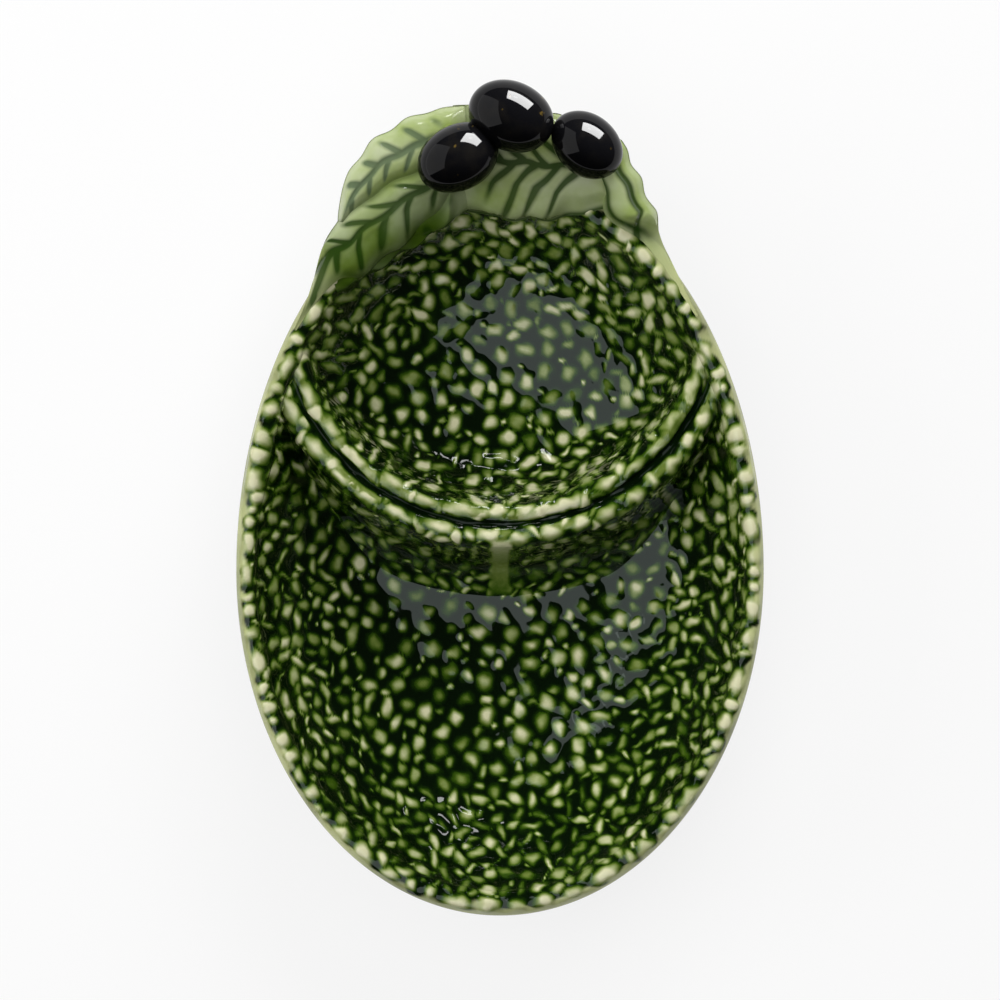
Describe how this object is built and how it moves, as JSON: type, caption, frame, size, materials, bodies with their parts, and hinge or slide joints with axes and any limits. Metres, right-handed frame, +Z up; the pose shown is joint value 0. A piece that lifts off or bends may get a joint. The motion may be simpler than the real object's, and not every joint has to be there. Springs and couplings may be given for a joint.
{
  "type": "olive dish",
  "caption": "Egg-shaped glazed earthenware dish with a large well for olives, a smaller well for stones behind a curved divider, and leaves with olives at the back.",
  "frame": {"origin": "bottom of the foot, midway along the dish's width and its whole length with the sprig", "axes": "+Y towards the sprig of leaves and olives, +X to the right seen from the front end, +Z up"},
  "size_m": [0.136, 0.2142, 0.0571],
  "materials": {
    "pebbled_glaze": "glossy",
    "divider_glaze": "glossy",
    "bare_clay": "matte",
    "leaf_glaze": "glossy",
    "olive_glaze": "glossy"
  },
  "bodies": {
    "root": {"oval_bowl": "pebbled_glaze", "foot_ring": "bare_clay", "divider": "divider_glaze", "leaf_centre": "leaf_glaze", "leaf_left_upper": "leaf_glaze", "leaf_left_lower": "leaf_glaze", "leaf_left_inner": "leaf_glaze", "leaf_right": "leaf_glaze", "olive_left": "olive_glaze", "olive_top": "olive_glaze", "olive_right": "olive_glaze"}
  },
  "joints": []
}
